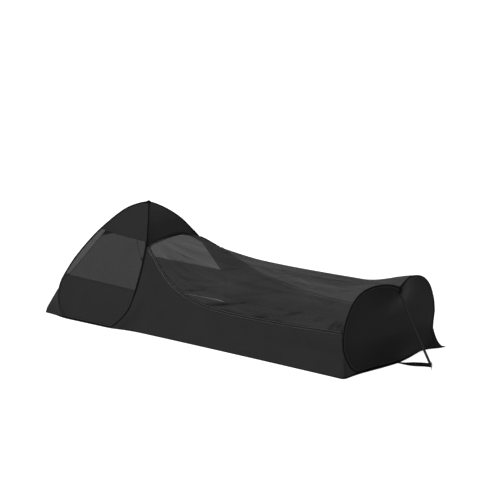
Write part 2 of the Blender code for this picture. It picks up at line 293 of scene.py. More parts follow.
class TentColours(bpy.types.PropertyGroup):
    """Colours of the cloths and trims."""

    cloth: bpy.props.FloatVectorProperty(
        name="Cloth", description="Black polyester", subtype="COLOR", default=(0.0128, 0.0128, 0.0133)
    )
    net: bpy.props.FloatVectorProperty(
        name="Net", description="Black mosquito net", subtype="COLOR", default=(0.0112, 0.0112, 0.0117)
    )
    cover: bpy.props.FloatProperty(
        name="Net cover", description="Share of a net that is thread", subtype="FACTOR", default=0.87
    )
    # Near black, darker than the cloth: partly the sleeves' own colour, partly painted shade of the groove beside
    # each hoop. The floor's binding shares it.
    sleeve: bpy.props.FloatVectorProperty(
        name="Sleeve", description="Hoop sleeves", subtype="COLOR", default=(0.0030, 0.0030, 0.0033)
    )
    piping: bpy.props.FloatVectorProperty(
        name="Piping", description="Grey piping", subtype="COLOR", default=(0.070, 0.070, 0.073)
    )
    tape: bpy.props.FloatVectorProperty(
        name="Tape", description="Zip and hem tape", subtype="COLOR", default=(0.0090, 0.0090, 0.0095)
    )
    webbing: bpy.props.FloatVectorProperty(
        name="Webbing", description="Straps and tabs", subtype="COLOR", default=(0.0030, 0.0030, 0.0033)
    )
    steel: bpy.props.FloatVectorProperty(
        name="Steel", description="Peg and zip sliders", subtype="COLOR", default=(0.30, 0.30, 0.31)
    )
    ground: bpy.props.FloatVectorProperty(
        name="Ground", description="Pale studio floor", subtype="COLOR", default=(0.45, 0.45, 0.45)
    )


class TentStudio(bpy.types.PropertyGroup):
    """The studio's light."""

    key: bpy.props.FloatProperty(
        name="Key", description="Strength of the big soft light overhead", default=2.8
    )
    key_height: bpy.props.FloatProperty(
        name="Key height", description="How high it stands", subtype="ANGLE", default=math.radians(72)
    )
    fill: bpy.props.FloatProperty(
        name="Fill", description="Strength of the low light in front", default=1.6
    )
    fill_height: bpy.props.FloatProperty(
        name="Fill height", description="How high it stands", subtype="ANGLE", default=math.radians(12)
    )
    ambient: bpy.props.FloatProperty(
        name="Ambient", description="Strength of the light from all round", default=0.35
    )
    glow: bpy.props.FloatProperty(
        name="Floor glow", description="Light of the lit table under the tent", default=0.76
    )


def table_value(table, key, column=1):
    """Read a column of a table at a key, as a smooth line through its rows."""
    rows = table if table[0][0] < table[-1][0] else tuple(reversed(table))
    if key <= rows[0][0]:
        return rows[0][column]
    if key >= rows[-1][0]:
        return rows[-1][column]
    i = 0
    while rows[i + 1][0] < key:
        i += 1
    x0, x1 = rows[i][0], rows[i + 1][0]
    y0, y1 = rows[i][column], rows[i + 1][column]
    span = x1 - x0
    slope = (y1 - y0) / span
    before = slope
    after = slope
    if i > 0:
        before = (y1 - rows[i - 1][column]) / (x1 - rows[i - 1][0])
    if i + 2 < len(rows):
        after = (rows[i + 2][column] - y0) / (rows[i + 2][0] - x0)
    t = (key - x0) / span
    a = 2 * t**3 - 3 * t**2 + 1
    b = t**3 - 2 * t**2 + t
    c = -2 * t**3 + 3 * t**2
    d = t**3 - t**2
    return a * y0 + b * span * before + c * y1 + d * span * after


def mix(a, b, t):
    """Go from a to b."""
    return a + (b - a) * t


def smooth(t):
    """Ease a value between 0 and 1."""
    t = min(max(t, 0.0), 1.0)
    return t * t * (3 - 2 * t)


def steps(count):
    """Even steps from 0 to 1."""
    return [i / count for i in range(count + 1)]


def half_width_at(z):
    """Half width of the head dome at a height: the hoops lean together."""
    return table_value(DOME_HALF, z)


def head_arc_point(z):
    """A point on the near hoop's arc to the head."""
    return Vector((table_value(HEAD_ARC, z), -half_width_at(z), z))


def foot_arc_point(z):
    """A point on the near hoop's arc to the foot."""
    return Vector((table_value(FOOT_ARC, z), -half_width_at(z), z))


def foot_hoop_x(y, z):
    """The foot hoop's x position, pulled out by the guy line at its notch."""
    pull = NOTCH_PULL * math.exp(-((y / NOTCH_REACH) ** 2)) * smooth((z - 0.25) / 0.15)
    spread = (FOOT_SPREAD + FOOT_BOW * math.exp(-((y / 0.18) ** 2))) * (1 - smooth(z / 0.16))
    return FOOT_X - FOOT_LEAN * z + pull + spread


def foot_hoop_point(y):
    """A point on the upper half of the foot hoop."""
    z = table_value(FOOT_LOBE, abs(y))
    return Vector((foot_hoop_x(y, z), y, z))


def wall_top_height(x, side=1):
    """The height of a wall's top edge: the far one sags towards the foot."""
    return table_value(WALL_TOP, x, 2 if side > 0 else 3)


def wall_top_point(x, side=1):
    """A point on a wall's top edge, given on the near side."""
    return Vector((x, -table_value(WALL_TOP, x, 1), wall_top_height(x, side)))


def seam_point(t):
    """The near hip seam, from the floor corner up to the hoop."""
    z = mix(SEAM_FOOT, SEAM_HEAD, t)
    return Vector((table_value(HIP_SEAM, z, 1), -table_value(HIP_SEAM, z, 2), z))


def far(place):
    """The same surface on the far side."""

    def mirrored(u, v):
        x, y, z = place(u, v)
        return Vector((x, -y, z))

    return mirrored


def same(place):
    """The surface as it is, for the near side."""
    return place


SIDES = ((1, "near", same), (-1, "far", far))


class Line:
    """A line through points, read by its share of the length."""

    def __init__(self, points, closed=False):
        self.points = [Vector(point) for point in points]
        self.closed = closed
        if closed:
            self.points.append(self.points[0].copy())
        self.marks = [0.0]
        for start, end in zip(self.points, self.points[1:]):
            self.marks.append(self.marks[-1] + (end - start).length)
        self.length = self.marks[-1]

    def at(self, share):
        """The point at a share of the length."""
        share = share % 1.0 if self.closed else min(max(share, 0.0), 1.0)
        goal = share * self.length
        i = min(bisect.bisect_right(self.marks, goal), len(self.marks) - 1) - 1
        span = self.marks[i + 1] - self.marks[i]
        return self.points[i].lerp(self.points[i + 1], (goal - self.marks[i]) / span)

    def heading(self, share, reach=0.006):
        """The direction of the line at a share of its length."""
        step = reach / self.length
        if self.closed:
            return (self.at(share + step) - self.at(share - step)).normalized()
        low, high = max(share - step, 0.0), min(share + step, 1.0)
        return (self.at(high) - self.at(low)).normalized()


def tube(line, radius, guide, squash=1.0):
    """Rings round a line. The guide is the direction that stays up."""

    def place(u, v):
        ahead = line.heading(u)
        side = ahead.cross(guide).normalized()
        up = side.cross(ahead).normalized()
        angle = 2 * math.pi * v
        size = radius(u, v) if callable(radius) else radius
        return line.at(u) + (side * math.cos(angle) + up * squash * math.sin(angle)) * size

    return place


def ribbon(line, width, across, crown=0.0):
    """A tape along a line; across gives its width direction at a share."""

    def place(u, v):
        lay = across(u).normalized() if callable(across) else across
        face = line.heading(u).cross(lay).normalized()
        wide = width(u) if callable(width) else width
        return line.at(u) + lay * wide * (v - 0.5) + face * crown * (1 - (2 * v - 1) ** 2)

    return place


def span_of(place):
    """The longest lines of a surface across and up, in metres."""
    wide, tall = 0.0, 0.0
    for fixed in steps(6):
        across = [Vector(place(t, fixed)) for t in steps(40)]
        up = [Vector(place(fixed, t)) for t in steps(40)]
        wide = max(wide, sum((b - a).length for a, b in zip(across, across[1:])))
        tall = max(tall, sum((b - a).length for a, b in zip(up, up[1:])))
    return wide, tall


def lay_grid(bm, place, across, up):
    """Add a grid of faces set on a surface, with its UVs in metres."""
    wide, tall = span_of(place)
    layer = bm.loops.layers.uv.get("cloth") or bm.loops.layers.uv.new("cloth")
    bm.verts.layers.float.get("fold") or bm.verts.layers.float.new("fold")
    made = bmesh.ops.create_grid(bm, x_segments=across, y_segments=up, size=0.5)["verts"]
    spots = {vertex: (vertex.co.x + 0.5, vertex.co.y + 0.5) for vertex in made}
    for face in {face for vertex in made for face in vertex.link_faces}:
        for loop in face.loops:
            u, v = spots[loop.vert]
            loop[layer].uv = (u * wide, v * tall)
    for vertex, (u, v) in spots.items():
        vertex.co = place(u, v)
    return spots


def close_up(bm, outwards=True):
    """Merge a mesh's doubles and point its faces out."""
    bmesh.ops.remove_doubles(bm, verts=bm.verts, dist=0.00004)
    loose = [vertex for vertex in bm.verts if not vertex.link_faces]
    bmesh.ops.delete(bm, geom=loose, context="VERTS")
    open_ends = [edge for edge in bm.edges if edge.is_boundary]
    if open_ends and outwards:
        bmesh.ops.holes_fill(bm, edges=open_ends, sides=0)
    bmesh.ops.recalc_face_normals(bm, faces=bm.faces)


def face_to(bm, way):
    """Point a sheet's faces to one way."""
    bmesh.ops.remove_doubles(bm, verts=bm.verts, dist=0.00004)
    bm.normal_update()
    total = Vector((0.0, 0.0, 0.0))
    for face in bm.faces:
        total += face.normal * face.calc_area()
    if total.dot(Vector(way)) < 0:
        bmesh.ops.reverse_faces(bm, faces=bm.faces)
    bm.normal_update()


def as_piece(bm, name, finish, nodes=(), thick=0.0):
    """Make a finished piece of a mesh; it rides on the tent."""
    mesh = bpy.data.meshes.new(name)
    bm.to_mesh(mesh)
    bm.free()
    mesh.shade_smooth()
    mesh.materials.append(finish)
    item = bpy.data.objects.new(name, mesh)
    bpy.context.scene.collection.objects.link(item)
    if thick:
        wall = item.modifiers.new("thickness", "SOLIDIFY")
        wall.thickness = thick
        wall.offset = 0.0
    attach(item, "root")
    if nodes:
        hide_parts(*nodes)
    return item


def sheet(name, place, grid, way, finish, nodes=(), thick=0.0,
          shape=None):
    bm = bmesh.new()
    spots = lay_grid(bm, place, *grid)
    if shape:
        shape(bm, spots)
    face_to(bm, way)
    area = sum(face.calc_area() for face in bm.faces)
    wide, tall = span_of(place)
    item = as_piece(bm, name, finish, nodes, thick)
    return item


class Value:
    """A number that varies over a surface, for use in plain sums."""

    def __init__(self, paint, socket):
        self.paint = paint
        self.socket = socket

    def _join(self, kind, first, second):
        made = self.paint.node("ShaderNodeMath", {"operation": kind}, {0: first, 1: second})
        return Value(self.paint, made.outputs[0])

    def __add__(self, other):
        return self._join("ADD", self, other)

    def __radd__(self, other):
        return self._join("ADD", other, self)

    def __sub__(self, other):
        return self._join("SUBTRACT", self, other)

    def __rsub__(self, other):
        return self._join("SUBTRACT", other, self)

    def __mul__(self, other):
        return self._join("MULTIPLY", self, other)

    def __rmul__(self, other):
        return self._join("MULTIPLY", other, self)

    def __truediv__(self, other):
        return self._join("DIVIDE", self, other)

    def __pow__(self, other):
        return self._join("POWER", self, other)


class Paint:
    """One material and the nodes that make it."""

    def __init__(self, name, roughness, **fixed):
        self.made = bpy.data.materials.new(name)
        self.made.use_nodes = True
        self.tree = self.made.node_tree
        self.shader = self.tree.nodes["Principled BSDF"]
        self.shader.inputs["Roughness"].default_value = roughness
        for socket, value in fixed.items():
            self.shader.inputs[socket.replace("_", " ")].default_value = value

    def node(self, kind, settings=None, values=None):
        """Add a node: its type, its settings, then its sockets' values or links."""
        made = self.tree.nodes.new(kind)
        for key, value in (settings or {}).items():
            setattr(made, key, value)
        for key, value in (values or {}).items():
            self.link(value, made.inputs[key])
        return made

    def link(self, value, socket):
        """Give a socket a value, or join it to what makes the value."""
        value = value.socket if isinstance(value, Value) else value
        if isinstance(value, bpy.types.NodeSocket):
            self.tree.links.new(value, socket)
        else:
            socket.default_value = value

    def value(self, kind, settings=None, values=None, output=0):
        """Add a node and read one of its numbers."""
        return Value(self, self.node(kind, settings, values).outputs[output])

    def wave(self, value):
        """The sine of a value, from 0 to 1."""
        return self.value("ShaderNodeMath", {"operation": "SINE"}, {0: value}) * 0.5 + 0.5

    def limit(self, value, low=0.0, high=1.0):
        """Keep a value within bounds."""
        return self.value("ShaderNodeClamp", {}, {0: value, 1: low, 2: high})

    def cloth_map(self):
        """The piece's own map, in metres, as its two numbers."""
        place = self.node("ShaderNodeUVMap", {"uv_map": "cloth"})
        parts = self.node("ShaderNodeSeparateXYZ", {}, {0: place.outputs["UV"]})
        return Value(self, parts.outputs["X"]), Value(self, parts.outputs["Y"])

    def grain(self, scale, detail=2.0, stretch=(1.0, 1.0, 1.0)):
        """A soft noise through the piece, from 0 to 1."""
        place = self.node("ShaderNodeTexCoord")
        turned = self.node("ShaderNodeMapping", {}, {"Vector": place.outputs["Object"], "Scale": stretch})
        values = {"Vector": turned.outputs[0], "Scale": scale, "Detail": detail}
        return self.value("ShaderNodeTexNoise", {}, values)

    def fold(self):
        """How deep in a fold the surface is, from 0 to 1."""
        return self.value("ShaderNodeAttribute", {"attribute_name": "fold"}, output=2)

    def colour(self, dark, light, share):
        """Set the base colour between two colours."""
        made = self.node(
            "ShaderNodeMix",
            {"data_type": "RGBA"},
            {0: share, 6: (*dark, 1.0), 7: (*light, 1.0)},
        )
        self.link(made.outputs[2], self.shader.inputs["Base Color"])

    def bump(self, height, distance, strength=1.0):
        """Raise the surface by a height, in metres."""
        made = self.node("ShaderNodeBump", {}, {"Height": height, "Distance": distance, "Strength": strength})
        self.link(made.outputs[0], self.shader.inputs["Normal"])


def tinted(colour, factor):
    """A colour made lighter or darker."""
    return tuple(min(part * factor, 1.0) for part in colour)


def woven_cloth(name, tone=1.0, roughness=0.66, sheen=0.02):
    """Black polyester in a plain weave with soft uneven wear; creases are darkened as painted shade, and tone
    lightens or darkens a piece as painted light or shade.
    """
    colours = bpy.context.scene.tent_colours
    paint = Paint(name, roughness, Specular_IOR_Level=0.05, Sheen_Weight=sheen, Sheen_Roughness=0.45)
    across, along = paint.cloth_map()
    thread = paint.wave(across * (2 * math.pi / 0.0016)) * paint.wave(along * (2 * math.pi / 0.0016))
    soft = paint.grain(7.0, 3.0)
    fine = paint.grain(60.0, 2.0)
    crease = paint.fold()
    # The fold mark darkens the colour: painted shade in creases.
    shade = paint.limit(soft * 0.55 + fine * 0.20 + thread * 0.30 - crease * 0.9)
    paint.colour(tinted(colours.cloth, 0.70 * tone), tinted(colours.cloth, 1.34 * tone), shade)
    paint.link(roughness - 0.06 + soft * 0.12, paint.shader.inputs["Roughness"])
    paint.bump(thread * 0.35 + fine * 0.65, 0.0006, 0.45)
    return paint.made


def net_cloth(name, cover=1.0, tone=1.0):
    """Black mosquito net: a fine mesh that lets the light through."""
    colours = bpy.context.scene.tent_colours
    sizes = bpy.context.scene.tent_sizes
    paint = Paint(name, 0.75, Specular_IOR_Level=0.05)
    across, along = paint.cloth_map()
    turn = 2 * math.pi / sizes.mesh_pitch
    threads = 1 - paint.wave(across * turn) * paint.wave(along * turn)
    soft = paint.grain(5.0, 2.0, (0.5, 1.4, 1.0))
    crease = paint.fold()
    # The fold mark darkens the net as painted shade in its folds; below zero it lightens it as a painted highlight.
    # In the alpha, a fold also makes the net denser.
    shade = paint.limit(soft * 0.5 + 0.30 - crease * 0.6)
    paint.colour(tinted(colours.net, 0.25 * tone), tinted(colours.net, 1.65 * tone), shade)
    held = colours.cover * cover
    alpha = held + (threads - 0.75) * 0.06 + (soft - 0.5) * 0.05 + crease * (1.02 - held)
    paint.link(paint.limit(alpha, 0.05, 1.0), paint.shader.inputs["Alpha"])
    paint.bump(threads, 0.0004, 0.30)
    return paint.made


def sleeve_cloth(name):
    """Black twill binding over a hoop, rubbed a little lighter on its ridges."""
    colours = bpy.context.scene.tent_colours
    paint = Paint(name, 0.75, Specular_IOR_Level=0.04)
    around, along = paint.cloth_map()
    twill = paint.wave((around + along) * (2 * math.pi / 0.0022))
    worn = paint.grain(40.0, 3.0)
    paint.colour(tinted(colours.sleeve, 0.6), tinted(colours.sleeve, 1.8), paint.limit(worn * 0.7 + twill * 0.3))
    paint.bump(twill, 0.0004, 0.5)
    return paint.made


def trim(name, colour, pitch=0.0024, roughness=0.7, specular=0.08):
    """A ribbed tape, piping or webbing with a row of rib lines."""
    paint = Paint(name, roughness, Specular_IOR_Level=specular)
    along, across = paint.cloth_map()
    ribs = paint.wave(along * (2 * math.pi / pitch))
    edge = paint.wave(across * (2 * math.pi / 0.0035))
    soft = paint.grain(30.0, 2.0)
    shade = paint.limit(ribs * 0.35 + edge * 0.2 + soft * 0.5)
    paint.colour(tinted(colour, 0.65), tinted(colour, 1.35), shade)
    paint.bump(ribs * 0.7 + edge * 0.3, 0.0005, 0.6)
    return paint.made


def flat_line(name, core, edge, width):
    """A flat woven line, darker along both edges; the dark edges are partly painted shadow of the line on the panel
    behind it.
    """
    paint = Paint(name, 0.7, Specular_IOR_Level=0.10)
    along, across = paint.cloth_map()
    off = paint.value("ShaderNodeMath", {"operation": "ABSOLUTE"}, {0: across / width - 0.5})
    ribs = paint.wave(along * (2 * math.pi / 0.0024))
    paint.colour(core, edge, paint.limit((off - 0.30) * 14 + ribs * 0.15))
    paint.bump(ribs, 0.0004, 0.5)
    return paint.made


def steel(name, colour, roughness=0.38):
    """Plated steel with a dull, slightly scratched skin."""
    paint = Paint(name, roughness, Metallic=0.9)
    scratch = paint.grain(220.0, 4.0, (1.0, 1.0, 0.15))
    cloud = paint.grain(35.0, 2.0)
    paint.colour(tinted(colour, 0.6), tinted(colour, 1.15), paint.limit(cloud * 0.7 + scratch * 0.3))
    paint.link(roughness - 0.1 + scratch * 0.25, paint.shader.inputs["Roughness"])
    paint.bump(scratch, 0.0002, 0.3)
    return paint.made


def studio_floor(name, colour, glow):
    """A pale, even, lit table."""
    paint = Paint(name, 0.9, Specular_IOR_Level=0.0, Emission_Color=(1.0, 1.0, 1.0, 1.0), Emission_Strength=glow)
    cloud = paint.grain(0.6, 2.0)
    paint.colour(tinted(colour, 0.99), tinted(colour, 1.01), cloud)
    return paint.made


def head_hoop_line(side):
    """The closed line of a head hoop, from the apex round the head side."""
    points = []
    for t in steps(90):
        points.append(head_arc_point(max(APEX_HEIGHT * math.cos(math.pi / 2 * t), 0.010)))
    start, end = points[-1], foot_arc_point(0.010)
    for t in steps(30)[1:-1]:
        points.append(start.lerp(end, t))
    for t in steps(90)[:-1]:
        points.append(foot_arc_point(max(APEX_HEIGHT * math.sin(math.pi / 2 * t), 0.010)))
    kept = []
    for point in points:
        if not kept or (point - kept[-1]).length > 0.003:
            kept.append(point)
    return Line([(p.x, p.y * side, p.z) for p in kept], True)


def foot_under_z(y):
    """The height of the foot hoop's lower half at a distance from the middle."""
    return table_value(FOOT_UNDER, abs(y))


def foot_hoop_line():
    """The closed line of the foot hoop."""
    half = []
    for t in steps(60):
        half.append(foot_hoop_point(FOOT_HALF * math.sin(math.pi / 2 * t)))
    for t in steps(40)[1:]:
        y = mix(0.0, FOOT_HALF, math.cos(math.pi / 2 * t))
        z = foot_under_z(y)
        half.append(Vector((foot_hoop_x(y, z), y, z)))
    other = [Vector((p.x, -p.y, p.z)) for p in reversed(half[1:-1])]
    return Line(half + other, True)


def ripple(point, scale, height):
    """A soft unevenness at a point."""
    return height * noise.noise(Vector(point) * scale)


def window_foot(u):
    """The seam under a leaf's window, from the head arc to the foot arc."""
    return mix(*WINDOW_LOW, u)


def window_top(u):
    """The seam over a leaf's window, hanging a little."""
    return mix(*WINDOW_HIGH, u) - 0.005 * math.sin(math.pi * u)


def leaf(low, high, lift=0.0):
    """The near leaf between two seams, from one hoop arc to the other."""

    def place(u, v):
        z = mix(low(u), high(u), v)
        x = mix(table_value(HEAD_ARC, z), table_value(FOOT_ARC, z), u)
        slack = 0.004 * math.sin(math.pi * u) * smooth(z / 0.08)
        y = -half_width_at(z) + slack - lift
        y += ripple((x, 0.0, z), 6.0, 0.0022) * math.sin(math.pi * u)
        return Vector((x, y, z))

    return place


def head_end(low, high, lift=0.0):
    """The middle head panel between two shares of the hip seam."""

    def place(u, v):
        x, y, z = seam_point(mix(low, high, v))
        w = 2 * u - 1
        slack = 0.006 * (1 - w * w)
        return Vector((x + slack - lift, -y * w, z + lift * 0.3))

    return place


def head_gusset(low, high):
    """The gusset between the near hip seam and the hoop's arc, in part or whole."""

    def place(u, v):
        t = mix(low, high, v)
        hoop = head_arc_point(mix(0.010, SEAM_HEAD, t))
        point = seam_point(t).lerp(hoop, u)
        point.y += 0.004 * math.sin(math.pi * u) * math.sin(math.pi * t)
        return point

    return place


def head_cap(u, v):
    """The cap over the head side, from the hip seams to the apex."""
    z = mix(0.590, CAP_TOP, v)
    x, y, z = head_arc_point(z)
    w = 2 * u - 1
    return Vector((x + 0.004 * (1 - w * w), (-y - 0.001) * w, z - 0.001))


def hem_height(w):
    """The height of the hood's hem across the opening."""
    return table_value(HOOD_HEM, w)


def hood(u, v):
    """The hood between the hoops' arcs to the foot, down to its hem."""
    w = 2 * u - 1
    z = mix(hem_height(w), CAP_TOP, v)
    x, y, z = foot_arc_point(z)
    slack = 0.005 * (1 - w * w) * math.sin(math.pi * min(v * 1.2, 1.0))
    return Vector((x - slack, (-y - 0.001) * w, z - 0.001))


def foot_corner(t, side=1):
    """A foot corner's low edge, from the wall to the foot hoop, given on the near side."""
    if side > 0:
        start, tip = Vector((1.112, -0.4440, 0.003)), Vector((1.142, -0.454, 0.003))
    else:
        start, tip = Vector((1.167, -0.4330, 0.003)), Vector((1.132, -0.365, 0.003))
    end = Vector((FOOT_X + FOOT_SPREAD, -0.305, 0.008))
    return start.lerp(tip, t).lerp(tip.lerp(end, t), t)


def crease(v, side=1):
    """The upright fold where a wall ends and its corner gusset starts."""
    point = foot_corner(0.0, side).lerp(foot_hoop_side(GUSSET_TOP), v)
    bend = math.sin(math.pi * v**0.6)
    if side < 0:
        return point + Vector((-0.012, 0.010, 0.0)) * bend
    point.y += 0.004 * bend
    return point


def foot_hoop_side(z):
    """The near side of the foot hoop at a height."""
    if z > FOOT_WAIST:
        rows = tuple((row[1], row[0]) for row in FOOT_LOBE if row[0] >= 0.300)
    else:
        rows = tuple((row[1], row[0]) for row in FOOT_UNDER)
    y = table_value(rows, z)
    return Vector((foot_hoop_x(y, z), -y, z))


def wall_end(z, side):
    """A wall's edge at the foot end: up the crease, then up the hoop."""
    if z > GUSSET_TOP:
        return foot_hoop_side(z)
    return crease(max(z - 0.003, 0.0) / (GUSSET_TOP - 0.003), side)


def patch(low, high, start, end):
    """A surface between four edge lines: low and high run by u, the rest by v."""

    def place(u, v):
        across = low(u).lerp(high(u), v)
        along = start(v).lerp(end(v), u)
        corners = low(0).lerp(low(1), u).lerp(high(0).lerp(high(1), u), v)
        return across + along - corners

    return place


def foot_gusset(side):
    """The gusset between a wall's end, the floor corner and the foot hoop."""
    top = foot_hoop_side(GUSSET_TOP)

    def hoop(v):
        return foot_hoop_side(mix(0.012, GUSSET_TOP, v))

    return patch(lambda u: foot_corner(u, side), lambda u: top, lambda v: crease(v, side), hoop)


def wall_low(t, side):
    """A wall's foot along the floor's edge, given on the near side."""
    start, end = foot_arc_point(0.0045), foot_corner(0.0, side)
    x = mix(start.x, end.x, t)
    y = mix(start.y, floor_edge(x), smooth(t * 20))
    return Vector((x, mix(y, end.y, smooth((t - 0.9) * 10)), mix(0.0035, 0.0016, smooth(min(t, 1 - t) * 25))))


def floor_edge(x):
    """The floor's near edge at an x position."""
    t = x / HALF_LENGTH
    waist = 0.012 * (1 - t * t)
    bulge = (FOOT_BULGE + 0.006) * math.exp(-(max(abs(t + 0.66) - 0.14, 0.0) / 0.11) ** 2)
    return -(HALF_WIDTH - waist + bulge) + 0.0005


def side_wall(side):
    """A side wall from the floor to its curved top edge, given on the near side."""
    top = wall_top_height(1.105, side)

    def high(t):
        return wall_top_point(mix(WALL_TOP[0][0], foot_hoop_side(top).x, t), side)

    start_gap = high(0.0) - foot_arc_point(0.4625)
    end_gap = high(1.0) - wall_end(top, side)

    def start(v):
        return foot_arc_point(mix(0.0045, 0.4625, v)) + start_gap * v

    def end(v):
        return wall_end(mix(0.003, top, v), side) + end_gap * v

    flat = patch(lambda t: wall_low(t, side), high, start, end)

    def place(u, v):
        point = flat(u, v)
        inner = math.sin(math.pi * v) * min(1.0, 12 * u, 12 * (1 - u))
        point.y += 0.004 * inner
        point.y += ripple((point.x * 0.6, 0.0, point.z * 2.0), 7.0, 0.0030) * inner
        return point

    return place


def roof_height(u, w, x):
    """The height of the net roof, w being -1 at one wall and 1 at the other."""
    wall = wall_top_height(x, -1 if w > 0 else 1) + 0.0010
    ridge = table_value(RIDGE, x)
    middle = wall + (ridge - wall) * (1 - abs(w) ** 2.1)
    lobe = table_value(FOOT_LOBE, FOOT_HALF * abs(w)) + 0.0010
    return mix(middle, lobe, smooth((u - 0.82) / 0.18))


def net_roof(u, v):
    """The net roof from the hood's hem to the foot hoop."""
    w = 2 * v - 1
    hem_x = table_value(FOOT_ARC, hem_height(w)) - 0.001
    y_end = FOOT_HALF * w
    z_end = table_value(FOOT_LOBE, abs(y_end))
    x = mix(hem_x, foot_hoop_x(y_end, z_end), u)
    half = mix(table_value(WALL_TOP, min(x, 1.105), 1), FOOT_HALF, smooth((u - 0.9) / 0.1))
    z = roof_height(u, w, min(x, 1.163))
    return Vector((x, half * w, z))


def foot_panel(u, v):
    """The panel that fills the foot hoop."""
    y = FOOT_HALF * math.sin(math.pi / 2 * (2 * u - 1))
    top = table_value(FOOT_LOBE, abs(y))
    z = mix(foot_under_z(y), top, v)
    dish = 0.010 * math.sin(math.pi * v) * math.cos(math.pi / 2 * (2 * u - 1))
    return Vector((foot_hoop_x(y, z) + dish, y, z))


def floor_place(u, v):
    """The groundsheet, its head corners pulled to points."""
    w = 2 * v - 1
    t = 2 * u - 1
    head = HALF_LENGTH - END_HOLLOW * (1 - w**4) + 0.016 * math.exp(-((w / 0.27) ** 2))
    x = (head if t < 0 else table_value(FLOOR_END, w)) * t
    y = -floor_edge(HALF_LENGTH * t) * w
    lift = 0.0009 + 0.0012 * (1 - t * t) * (1 - w * w) * (0.5 + noise.noise(Vector((x * 5, y * 5, 0.0))))
    return Vector((x, y, max(lift, 0.0008)))


def floor_rim():
    """The groundsheet's outer edge as a closed line."""
    points = [floor_place(t, 0.0) for t in steps(120)]
    points += [floor_place(1.0, t) for t in steps(60)[1:]]
    points += [floor_place(1 - t, 1.0) for t in steps(120)[1:]]
    points += [floor_place(0.0, 1 - t) for t in steps(60)[1:-1]]
    return Line(points, True)


class TENT_OT_stage(bpy.types.Operator):
    """Set the pale floor, the soft lights and the camera"""

    bl_idname = "tent.stage"
    bl_label = "Studio stage"

    def execute(self, context):
        studio = context.scene.tent_studio
        colours = context.scene.tent_colours
        bm = bmesh.new()
        bmesh.ops.create_grid(bm, x_segments=4, y_segments=4, size=160.0)
        mesh = bpy.data.meshes.new("studio_floor")
        bm.to_mesh(mesh)
        bm.free()
        mesh.materials.append(studio_floor("studio floor paper", colours.ground, studio.glow))
        floor = bpy.data.objects.new("studio_floor", mesh)
        context.scene.collection.objects.link(floor)

        world = bpy.data.worlds.new("studio_air")
        world.use_nodes = True
        air = world.node_tree.nodes["Background"]
        air.inputs["Color"].default_value = (1.0, 1.0, 1.0, 1.0)
        air.inputs["Strength"].default_value = studio.ambient
        context.scene.world = world
        context.scene.view_settings.view_transform = "Standard"

        for name, power, height, turn, size in (
            ("key_light", studio.key, studio.key_height, 20, 50),
            ("fill_light", studio.fill, studio.fill_height, 10, 40),
        ):
            light = bpy.data.lights.new(name, "SUN")
            light.energy = power
            light.angle = math.radians(size)
            lamp = bpy.data.objects.new(name, light)
            lamp.rotation_euler = (math.pi / 2 - height, 0.0, -math.radians(turn))
            context.scene.collection.objects.link(lamp)

        lens = bpy.data.cameras.new("photo_camera")
        lens.lens = 108.0
        lens.sensor_width = 36.0
        lens.clip_end = 400.0
        camera = bpy.data.objects.new("photo_camera", lens)
        camera.location = (5.623, -6.443, 2.155)
        turn, down = math.radians(40.54), math.radians(11.146)
        ahead = Vector((-math.sin(turn) * math.cos(down), math.cos(turn) * math.cos(down), -math.sin(down)))
        camera.rotation_euler = ahead.to_track_quat("-Z", "Y").to_euler()
        context.scene.collection.objects.link(camera)
        context.scene.camera = camera
        return {"FINISHED"}


class TENT_OT_floor_cloth(bpy.types.Operator):
    """Lay the groundsheet with its bound edge"""

    bl_idname = "tent.floor_cloth"
    bl_label = "Groundsheet"

    def execute(self, context):
        colours = context.scene.tent_colours
        binding = trim("floor binding", colours.sleeve, 0.0030)
        bm = bmesh.new()
        line = floor_rim()
        lay_grid(bm, tube(line, lambda u, v: 0.0024, Vector((0, 0, 1)), 0.55), 700, 8)
        for vertex in bm.verts:
            vertex.co.z = max(vertex.co.z + 0.0006, 0.0003)
        close_up(bm)
        hem = as_piece(bm, "groundsheet_binding", binding)
        cloth = woven_cloth("coated floor cloth", 1.0, 0.6, 0.0)
        sheet(
            "groundsheet_cloth", floor_place, (150, 60), (0, 0, 1), cloth,
            ["groundsheet"], 0.0010,
        )
        return {"FINISHED"}


